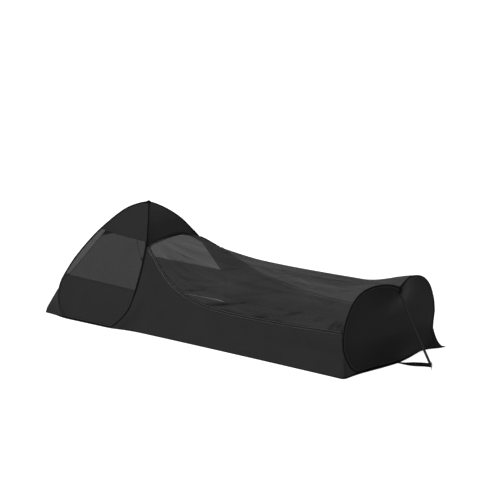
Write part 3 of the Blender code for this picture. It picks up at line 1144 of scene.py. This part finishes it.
class TENT_OT_hoop_sleeves(bpy.types.Operator):
    """Sew the sleeves round the three spring hoops, with their piping"""

    bl_idname = "tent.hoop_sleeves"
    bl_label = "Hoop sleeves"

    def execute(self, context):
        sizes = context.scene.tent_sizes
        colours = context.scene.tent_colours
        black = sleeve_cloth("hoop sleeve cloth")
        grey = trim("sleeve piping", tinted(colours.piping, 0.45), 0.0028)

        def pucker(line, swell):
            def radius(u, v):
                wave = math.sin(2 * math.pi * u * 190) * math.sin(2 * math.pi * v)
                return sizes.sleeve * (0.92 + 0.05 * wave) * swell(line.at(u))

            return radius

        def head_swell(point):
            wide = smooth((point.z - 0.17) / 0.05) * (1 - smooth((point.z - 0.47) / 0.05))
            return 0.85 + 0.45 * wide if point.x > APEX_X else 1.0

        def foot_swell(point):
            return 0.9 + 0.7 * math.exp(-((point.y / 0.05) ** 2)) * smooth(point.z / 0.3)

        for side, word, turn in SIDES:
            line = head_hoop_line(side)
            bm = bmesh.new()
            lay_grid(bm, tube(line, pucker(line, head_swell), Vector((0, -side, 0.25))), 760, 10)
            close_up(bm, False)
            as_piece(bm, word + "_hoop_sleeve", black, [word + "_head_hoop"])
            edge = leaf_edge_line(side)
            bm = bmesh.new()
            lay_grid(bm, tube(edge, sizes.piping * 0.75, Vector((0, -side, 0.25))), 760, 6)
            close_up(bm, False)
            as_piece(bm, word + "_hoop_piping", grey)
        line = foot_hoop_line()
        bm = bmesh.new()
        lay_grid(bm, tube(line, pucker(line, foot_swell), Vector((1, 0, 0))), 760, 10)
        close_up(bm, False)
        as_piece(bm, "foot_hoop_sleeve", black, ["foot_hoop"])
        inner = Line([mid_pull(p, 0.0075) + Vector((0.0040, 0, 0)) for p in line.points[:-1]], True)
        bm = bmesh.new()
        lay_grid(bm, tube(inner, sizes.piping * 0.75, Vector((1, 0, 0))), 760, 6)
        close_up(bm, False)
        as_piece(bm, "foot_hoop_piping", grey)
        return {"FINISHED"}


def mid_pull(point, distance):
    """Move a point of the foot hoop towards the panel's middle."""
    middle = Vector((point.x, math.copysign(min(abs(point.y), 0.19), point.y), 0.21))
    way = middle - point
    if way.length < 0.02:
        return point.copy()
    return point + way.normalized() * distance


def leaf_edge_line(side):
    """A line just inside a head hoop, on the leaf's outer face."""
    points = []
    for point in head_hoop_line(1).points[:-1]:
        middle = Vector((-0.76, point.y, 0.30))
        way = (middle - point).normalized()
        spot = point + way * 0.0066 + Vector((0.0, -0.0036, 0.0))
        points.append((spot.x, spot.y * side, spot.z))
    return Line(points, True)


class TENT_OT_dome_leaves(bpy.types.Operator):
    """Fill the two head hoops: solid foot, net window and solid cap"""

    bl_idname = "tent.dome_leaves"
    bl_label = "Dome leaves"

    def execute(self, context):
        sizes = context.scene.tent_sizes
        colours = context.scene.tent_colours
        cloth = woven_cloth("dome cloth")
        # The cap's copy of the cloth is drawn a little darker: painted shade.
        cap = woven_cloth("dome cap cloth", 0.95)
        # The near window's net is made opaque and darker: painted shade of the dim inside seen through it.
        nets = (net_cloth("near window net", 1.01, 0.65), net_cloth("far window net", 0.82))
        band = woven_cloth("hem tape", 0.95)
        half = sizes.hem / 2
        for side, word, turn in SIDES:
            way = (0, -side, 0.3)
            net = nets[0] if side > 0 else nets[1]
            for label, seam in (("window_foot_hem", window_foot), ("window_top_hem", window_top)):
                hem = leaf(lambda u: seam(u) - half, lambda u: seam(u) + half, 0.0012)
                bm = bmesh.new()
                lay_grid(bm, turn(hem), 60, 4)
                face_to(bm, way)
                as_piece(bm, word + "_" + label, band, (), sizes.cloth * 0.6)
            sheet(
                word + "_leaf_foot_cloth", turn(leaf(lambda u: 0.006, window_foot)), (60, 32), way, cloth,
                [word + "_leaf_lower"], sizes.cloth,
            )
            sheet(
                word + "_window_net", turn(leaf(window_foot, window_top)), (60, 32), way, net,
                [word + "_leaf_window"],
            )
            sheet(
                word + "_leaf_cap_cloth", turn(leaf(window_top, lambda u: CAP_TOP)), (60, 32), way, cap,
                [word + "_leaf_cap"], sizes.cloth,
            )
        return {"FINISHED"}


class TENT_OT_dome_head(bpy.types.Operator):
    """Close the dome's head side: gussets, end panels, window and cap"""

    bl_idname = "tent.dome_head"
    bl_label = "Dome head side"

    def execute(self, context):
        sizes = context.scene.tent_sizes
        cloth = woven_cloth("head cloth")
        net = net_cloth("head end net", 0.90)
        thin = (net_cloth("near gusset net", 0.69, 0.8), net_cloth("far gusset net", 0.90))
        band = woven_cloth("hip seam tape", 0.9)
        for side, word, turn in SIDES:
            line = Line([(p.x, p.y * side, p.z) for p in (seam_point(t) for t in steps(90))])
            bm = bmesh.new()
            lay_grid(bm, tube(line, 0.0014, Vector((0, 0, 1))), 120, 8)
            close_up(bm)
            as_piece(bm, word + "_hip_seam", band)
            way = (-0.5, -side, 0.2)
            sheet(
                word + "_head_gusset_cloth", turn(head_gusset(0.0, GUSSET_SHARE)), (14, 30), way,
                cloth, (), sizes.cloth,
            )
            sheet(
                word + "_head_gusset_net", turn(head_gusset(GUSSET_SHARE, 1.0)), (14, 40), way,
                thin[0] if side > 0 else thin[1], [word + "_head_gusset"],
            )
        for label, low, high in (("head_end_hem", HEAD_NET_SHARE - 0.010, HEAD_NET_SHARE + 0.010),):
            bm = bmesh.new()
            lay_grid(bm, head_end(low, high, 0.0012), 40, 4)
            face_to(bm, (-1, 0, 0.4))
            as_piece(bm, label, band, (), sizes.cloth * 0.6)
        way = (-1, 0, 0.4)
        sheet(
            "head_end_net", head_end(0.0, HEAD_NET_SHARE), (60, 60), way, net,
            ["head_lower", "head_window"],
        )
        sheet(
            "head_top_cloth", head_end(HEAD_NET_SHARE, 1.0), (60, 16), way, cloth,
            ["head_upper"], sizes.cloth,
        )
        sheet(
            "head_cap_cloth", head_cap, (40, 30), (-0.5, 0, 1), cloth,
            ["head_cap"], sizes.cloth,
        )
        return {"FINISHED"}


class TENT_OT_hood(bpy.types.Operator):
    """Sew the hood over the opening, with its folded hem"""

    bl_idname = "tent.hood"
    bl_label = "Hood"

    def execute(self, context):
        sizes = context.scene.tent_sizes
        # The hood's copy of the cloth is drawn lighter: painted light.
        cloth = woven_cloth("hood cloth", 1.2)
        # The hem band is drawn darker: painted shade under the hood's hem.
        band = woven_cloth("hood hem tape", 0.6)

        def hem_band(u, v):
            w = 2 * u - 1
            z = hem_height(w) + 0.001 + 0.019 * v
            x, y, z = foot_arc_point(z)
            return Vector((x + 0.0016, (-y - 0.002) * w, z))

        bm = bmesh.new()
        lay_grid(bm, hem_band, 60, 4)
        face_to(bm, (1, 0, 0.3))
        hem = as_piece(bm, "hood_hem", band, (), sizes.cloth * 0.6)
        sheet(
            "hood_cloth", hood, (60, 50), (1, 0, 0.5), cloth, ["hood"],
            sizes.cloth,
        )
        return {"FINISHED"}


def roof_spot(x, reach, side):
    """A point on one half of the roof, a distance in from the wall's edge."""
    edge = wall_top_point(x, side)
    w = (-1.0 + reach / 0.33) * side
    z = roof_height((x + 0.49) / 1.65, w, x)
    point = Vector((x, edge.y * abs(w), z))
    way = point - edge
    return edge + way.normalized() * reach


class TENT_OT_side_walls(bpy.types.Operator):
    """Set up the side walls with their zips and piping"""

    bl_idname = "tent.side_walls"
    bl_label = "Side walls"

    def execute(self, context):
        sizes = context.scene.tent_sizes
        colours = context.scene.tent_colours
        cloth = woven_cloth("wall cloth")
        tape = trim("zip tape", colours.tape, 0.0022)
        teeth = trim("zip coil", tinted(colours.tape, 1.8), 0.0016, 0.35, 0.5)
        # The far wall's piping is drawn as dark as the zip tape and the near one grey: painted shade on the far
        # side.
        grey = (trim("wall piping", tinted(colours.piping, 0.8), 0.0030), trim("far piping", colours.tape, 0.0030))
        metal = steel("slider metal", tinted(colours.steel, 0.12), 0.45)
        for side, word, turn in SIDES:
            marks = [mix(-0.478, 1.095, t) for t in steps(160)]

            def flipped(points):
                return Line([(p.x, p.y * side, p.z) for p in points])

            lift = Vector((0.0, -0.0016, 0.0012))
            low = flipped([roof_spot(x, 0.0045, side) + lift for x in marks])
            high = flipped([roof_spot(x, 0.0045 + sizes.zip_tape, side) + lift for x in marks])
            middle = flipped([roof_spot(x, 0.0045 + sizes.zip_tape * 0.5, side) + lift * 1.8 for x in marks])
            rim = flipped([wall_top_point(x, side) + Vector((0, -0.0022, 0.0006)) for x in marks])

            def thinner(u, v):
                return sizes.piping * mix(1.0, 0.55, smooth((rim.at(u).x + 0.20) / 0.25))

            def tape_place(u, v):
                return low.at(u).lerp(high.at(u), v)

            bm = bmesh.new()
            lay_grid(bm, tape_place, 320, 4)
            face_to(bm, (0, -side, 0.6))
            band = as_piece(bm, word + "_zip_tape", tape, (), 0.0007)

            def tooth(u, v):
                return 0.0016 * (1 + 0.16 * math.sin(2 * math.pi * u * middle.length / 0.0050))

            bm = bmesh.new()
            lay_grid(bm, tube(middle, tooth, Vector((0, 0, 1)), 0.8), 1300, 6)
            close_up(bm)
            coil = as_piece(bm, word + "_zip_coil", teeth, [word + "_zip"])
            bm = bmesh.new()
            lay_grid(bm, tube(rim, thinner, Vector((0, 0, 1))), 400, 8)
            close_up(bm)
            piping = as_piece(bm, word + "_wall_piping", grey[0] if side > 0 else grey[1])
            slider = make_slider(middle, 0.10, side, word + "_zip_slider_body", metal)
            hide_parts(word + "_zip_slider")
            sheet(
                word + "_wall_cloth", turn(side_wall(side)), (200, 40), (0, -side, 0.1), cloth,
                [word + "_side_wall"], sizes.cloth,
            )
        return {"FINISHED"}


def make_slider(line, share, side, name, finish):
    """A zip slider with its pull, set on a zip's coil."""
    spot = line.at(share)
    ahead = line.heading(share)
    out = Vector((0.0, -side, 0.55)).normalized()
    wide = ahead.cross(out).normalized()
    bm = bmesh.new()
    body = bmesh.ops.create_cube(bm, size=1.0)["verts"]
    for vertex in body:
        narrow = 0.75 if vertex.co.x < 0 else 1.0
        vertex.co = (vertex.co.x * 0.0115, vertex.co.y * 0.0085 * narrow, vertex.co.z * 0.0040)
    bmesh.ops.bevel(
        bm, geom=bm.edges[:], affect="EDGES", segments=3, profile=0.5, material=-1, offset=0.0010,
    )
    pull = bmesh.ops.create_cube(bm, size=1.0)["verts"]
    for vertex in pull:
        vertex.co = (vertex.co.x * 0.016 - 0.0085, vertex.co.y * 0.0052, vertex.co.z * 0.0012 + 0.0034)
    edges = {edge for vertex in pull for edge in vertex.link_edges}
    bmesh.ops.bevel(
        bm, geom=list(edges), affect="EDGES", segments=2, profile=0.5, material=-1, offset=0.0004,
    )
    for vertex in bm.verts:
        x, y, z = vertex.co
        vertex.co = spot + ahead * x + wide * y + out * (z + 0.0010)
    bmesh.ops.recalc_face_normals(bm, faces=bm.faces)
    return as_piece(bm, name, finish)


# Folds drawn into the net roof: start and end as x position and share across,
# half width in metres and depth; above zero the net is dented, darkened and thickened there as painted shade, below
# zero it is lightened and thinned as a painted highlight
ROOF_FOLDS = (
    (-0.09, -0.935, 0.04, -0.825, 0.0053, 0.75),
    (0.11, -0.965, 0.295, -0.875, 0.0094, 1.0),
    (0.295, -0.875, 0.37, -0.835, 0.0059, 0.6),
    (0.225, -0.965, 0.34, -0.975, 0.0071, 0.8),
    (0.34, -0.975, 0.39, -0.975, 0.0053, 0.5),
    (0.46, -0.97, 0.56, -0.945, 0.0082, 0.7),
    (0.605, -0.98, 0.65, -0.97, 0.0076, 0.7),
    (0.665, -0.885, 0.77, -0.83, 0.0076, 0.6),
    (0.575, -0.85, 0.63, -0.83, 0.0076, 0.35),
    (0.88, -0.895, 0.93, -0.91, 0.0088, 0.3),
    (0.995, -0.99, 1.055, -0.95, 0.0059, 0.7),
    (1.05, -0.98, 1.09, -0.955, 0.0053, 0.7),
    (1.08, -0.985, 1.105, -0.975, 0.0053, 0.5),
    (0.05, -0.455, 0.145, -0.33, 0.0106, 0.5),
    (0.26, -0.175, 0.385, -0.27, 0.0076, 0.35),
    (0.385, -0.27, 0.505, -0.205, 0.0076, 0.35),
    (0.62, -0.18, 0.745, -0.195, 0.0088, 0.4),
    (0.745, -0.195, 0.88, -0.115, 0.0088, 0.4),
    (0.39, -0.145, 0.435, -0.125, 0.0088, 0.4),
    (0.56, -0.27, 0.715, -0.44, 0.0053, -0.5),
    (0.68, -0.595, 0.765, -0.66, 0.0053, -0.4),
    (0.085, -0.48, 0.215, -0.86, 0.0041, 0.25),
    (-0.47, -0.595, -0.095, -0.435, 0.0071, 0.22),
    (-0.49, -0.335, -0.115, -0.31, 0.0071, 0.2),
    (-0.435, -0.78, -0.065, -0.5, 0.0071, 0.2),
    (-0.23, -0.89, 0.13, -0.625, 0.0076, 0.3),
    (-0.145, -0.915, 0.165, -0.7, 0.0071, 0.25),
    (0.19, -0.685, 0.55, -0.215, 0.0094, 0.25),
    (0.205, -0.81, 0.595, -0.58, 0.0088, 0.25),
    (0.22, -0.44, 0.545, -0.53, 0.0071, -0.2),
    (0.135, -0.07, 0.585, -0.32, 0.0088, -0.25),
    (0.76, -0.6, 1.09, -0.92, 0.0076, -0.3),
    (0.9, -0.435, 1.02, -0.56, 0.0076, 0.3),
    (0.905, -0.13, 1.115, -0.165, 0.0059, 0.3),
    (0.835, -0.34, 0.955, -0.36, 0.0059, 0.3),
)


def fold_depth(x, w, half):
    """How deep in a drawn fold a spot of the roof is."""
    depth = 0.0
    for x0, w0, x1, w1, reach, strength in ROOF_FOLDS:
        if not min(x0, x1) - 0.03 < x < max(x0, x1) + 0.03:
            continue
        ax, ay = x1 - x0, (w1 - w0) * half
        bx, by = x - x0, (w - w0) * half
        share = min(max((ax * bx + ay * by) / (ax * ax + ay * ay), 0.0), 1.0)
        off = math.hypot(bx - ax * share, by - ay * share)
        if off < 3 * reach:
            body = 0.45 + 0.55 * math.sin(math.pi * share)
            depth += strength * body * math.exp(-((off / reach) ** 2))
    return depth


def crease_roof(bm, spots):
    """Raise the net roof's long folds and mark how deep they are."""
    sizes = bpy.context.scene.tent_sizes
    layer = bm.verts.layers.float["fold"]
    bm.normal_update()
    for vertex, (u, v) in spots.items():
        x = vertex.co.x
        w = 2 * v - 1
        edge = smooth(u * 12) * smooth((1 - u) * 14) * smooth((1 - abs(w)) * 9)
        wide = noise.noise(Vector((x * 0.9, w * 7.0, 3.0)))
        fine = noise.noise(Vector((x * 1.7, w * 19.0, 9.0)))
        thin = 1 - abs(noise.noise(Vector((x * 1.1, w * 13.0, 21.0)))) * 2.2
        line = max(thin, 0.0) ** 9 * smooth(0.5 + noise.noise(Vector((x * 3.0, w * 4.0, 40.0))) * 2)
        drawn = fold_depth(x, w, 0.39)
        height = (wide * 0.9 + fine * 0.45 - line * 0.5) * sizes.folds * edge - drawn * 0.0012
        vertex.co += vertex.normal * height
        # The mark darkens the net along wrinkles and drawn folds as painted shade; below zero it lightens it as a
        # painted highlight.
        streak = line * 0.20 + fine * 0.35 + wide * 0.15
        vertex[layer] = min(max(streak * edge + drawn, -0.6), 1.0)


class TENT_OT_net_roof(bpy.types.Operator):
    """Stretch the net roof from the hood to the foot hoop"""

    bl_idname = "tent.net_roof"
    bl_label = "Net roof"

    def execute(self, context):
        # The roof's net is drawn nearly twice as light as the other nets: painted light.
        net = net_cloth("roof net", 1.0, 1.95)
        sheet(
            "net_roof_net", net_roof, (400, 230), (0, 0, 1), net, ["net_roof"],
            shape=crease_roof,
        )
        return {"FINISHED"}


class TENT_OT_foot_end(bpy.types.Operator):
    """Close the foot end: the panel in the hoop and the corner gussets"""

    bl_idname = "tent.foot_end"
    bl_label = "Foot end"

    def execute(self, context):
        sizes = context.scene.tent_sizes
        # The foot panel's copy of the cloth is drawn at under half tone: painted shade on the panel that faces away
        # from the light.
        cloth = woven_cloth("foot cloth", 0.46)
        # The far corner's copy of the cloth is drawn darker than the near one: painted shade.
        corner = (woven_cloth("near corner cloth", 1.0), woven_cloth("far corner cloth", 0.6))
        sheet(
            "foot_panel_cloth", foot_panel, (110, 60), (1, 0, 0), cloth,
            ["foot_panel"], sizes.cloth,
        )
        for side, word, turn in SIDES:
            sheet(
                word + "_foot_gusset_cloth", turn(foot_gusset(side)), (30, 30), (0.5, -side, 0),
                corner[0] if side > 0 else corner[1], [word + "_foot_gusset"], sizes.cloth,
            )
        return {"FINISHED"}


class TENT_OT_guy_line(bpy.types.Operator):
    """Tie the guy line, the ground strap and the peg at the foot"""

    bl_idname = "tent.guy_line"
    bl_label = "Guy line and peg"

    def execute(self, context):
        sizes = context.scene.tent_sizes
        colours = context.scene.tent_colours
        webbing = trim("strap webbing", colours.webbing, 0.0026, 0.75, 0.03)
        wire = steel("peg wire", colours.steel)
        notch = foot_hoop_point(0.0)

        bm = bmesh.new()
        loop = []
        for t in steps(40):
            angle = math.radians(mix(100, 440, t))
            loop.append(notch + Vector((math.cos(angle) * 0.0080 + 0.002, 0.0, math.sin(angle) * 0.0175 - 0.010)))
        lay_grid(bm, ribbon(Line(loop), 0.016, Vector((0, 1, 0))), 60, 4)
        bmesh.ops.remove_doubles(bm, verts=bm.verts, dist=0.00004)
        bmesh.ops.recalc_face_normals(bm, faces=bm.faces)
        as_piece(bm, "foot_tab_webbing", webbing, ["foot_tab"], 0.0024)

        start = notch + Vector((0.0030, 0.0, -0.0260))
        end = Vector((PEG_X - 0.006, 0.0, 0.027))
        sag = Vector((-0.0015, 0.0, -0.0035))
        line = Line([start.lerp(end, t) + sag * math.sin(math.pi * t) for t in steps(60)])
        bm = bmesh.new()
        lay_grid(bm, ribbon(line, sizes.guy, Vector((0, 1, 0))), 120, 8)
        bmesh.ops.recalc_face_normals(bm, faces=bm.faces)
        band = flat_line("guy line webbing", tinted(colours.cloth, 1.2), colours.webbing, sizes.guy)
        as_piece(bm, "guy_line_webbing", band, ["guy_line"], 0.0016)

        points = []
        for t in steps(60):
            x = mix(1.140, PEG_X + 0.004, t)
            points.append((x, 0.0, mix(0.0024, 0.0240, smooth(t**1.2))))
        path = Line(points)

        def twist(u):
            angle = math.radians(88) * smooth((u - 0.10) / 0.65)
            return Vector((0.0, math.cos(angle), math.sin(angle)))

        bm = bmesh.new()
        lay_grid(bm, ribbon(path, sizes.strap, twist), 90, 8)
        bmesh.ops.recalc_face_normals(bm, faces=bm.faces)
        as_piece(bm, "ground_strap_webbing", webbing, ["ground_strap"], 0.0020)

        shaft = [Vector((PEG_X + 0.001, 0.0, 0.001 + 0.038 * t)) for t in steps(12)]
        hook = []
        for t in steps(14)[1:]:
            angle = math.radians(180 * t)
            hook.append(Vector((PEG_X + 0.001 - 0.0045 + 0.0045 * math.cos(angle), 0.0, 0.039 + 0.0045 * math.sin(angle))))
        bm = bmesh.new()
        lay_grid(bm, tube(Line(shaft + hook), sizes.peg, Vector((0, 1, 0))), 60, 10)
        close_up(bm)
        for vertex in bm.verts:
            vertex.co.z = max(vertex.co.z, 0.0)
        as_piece(bm, "ground_peg_wire", wire, ["ground_peg"])
        return {"FINISHED"}


class TENT_OT_apex_tie(bpy.types.Operator):
    """Tie the two head hoops together at the apex"""

    bl_idname = "tent.apex_tie"
    bl_label = "Apex tie"

    def execute(self, context):
        colours = context.scene.tent_colours
        webbing = trim("tie webbing", colours.webbing, 0.0024, 0.75, 0.03)
        bm = bmesh.new()
        points = []
        for t in steps(48):
            angle = 2 * math.pi * t
            points.append((APEX_X, math.cos(angle) * 0.0145, APEX_HEIGHT + math.sin(angle) * 0.0072))
        lay_grid(bm, ribbon(Line(points[:-1], True), 0.014, Vector((1, 0, 0)), 0.0), 60, 4)
        bmesh.ops.remove_doubles(bm, verts=bm.verts, dist=0.00004)
        bmesh.ops.recalc_face_normals(bm, faces=bm.faces)
        band = as_piece(bm, "apex_tie_band", webbing, ["apex_tie"], 0.0014)
        bm = bmesh.new()
        made = bmesh.ops.create_uvsphere(bm, u_segments=16, v_segments=10, radius=1.0)["verts"]
        for vertex in made:
            x, y, z = vertex.co
            swell = 1 + 0.18 * math.sin(3 * math.atan2(y, x) + z * 4)
            vertex.co = (APEX_X + 0.004 + x * 0.0065 * swell, y * 0.0060 * swell, APEX_HEIGHT + 0.0075 + z * 0.0052)
        as_piece(bm, "apex_tie_knot", webbing)
        return {"FINISHED"}


class TENT_PT_sidebar(bpy.types.Panel):
    """The tent's sizes, colours and pieces in the sidebar"""

    bl_idname = "TENT_PT_sidebar"
    bl_label = "Mosquito net tent"
    bl_space_type = "VIEW_3D"
    bl_region_type = "UI"
    bl_category = "Net tent"

    def draw(self, context):
        for group in (context.scene.tent_sizes, context.scene.tent_colours, context.scene.tent_studio):
            box = self.layout.box()
            for name in group.__annotations__:
                box.prop(group, name)
        for kind in OPERATORS:
            self.layout.operator(kind.bl_idname)


GROUPS = (TentSizes, TentColours, TentStudio)
OPERATORS = (
    TENT_OT_stage,
    TENT_OT_floor_cloth,
    TENT_OT_hoop_sleeves,
    TENT_OT_dome_leaves,
    TENT_OT_dome_head,
    TENT_OT_hood,
    TENT_OT_side_walls,
    TENT_OT_net_roof,
    TENT_OT_foot_end,
    TENT_OT_guy_line,
    TENT_OT_apex_tie,
)


def register():
    """Add the classes and the scene's settings."""
    for kind in (*GROUPS, *OPERATORS, TENT_PT_sidebar):
        bpy.utils.register_class(kind)
    bpy.types.Scene.tent_sizes = bpy.props.PointerProperty(type=TentSizes)
    bpy.types.Scene.tent_colours = bpy.props.PointerProperty(type=TentColours)
    bpy.types.Scene.tent_studio = bpy.props.PointerProperty(type=TentStudio)


def unregister():
    """Take the settings and the classes away again."""
    del bpy.types.Scene.tent_studio
    del bpy.types.Scene.tent_colours
    del bpy.types.Scene.tent_sizes
    for kind in reversed((*GROUPS, *OPERATORS, TENT_PT_sidebar)):
        bpy.utils.unregister_class(kind)


def main():
    """Make every piece in order."""
    register()
    bpy.ops.tent.stage()
    bpy.ops.tent.floor_cloth()
    bpy.ops.tent.hoop_sleeves()
    bpy.ops.tent.dome_leaves()
    bpy.ops.tent.dome_head()
    bpy.ops.tent.hood()
    bpy.ops.tent.side_walls()
    bpy.ops.tent.net_roof()
    bpy.ops.tent.foot_end()
    bpy.ops.tent.guy_line()
    bpy.ops.tent.apex_tie()
    bpy.context.view_layer.update()


if __name__ == "__main__":
    main()
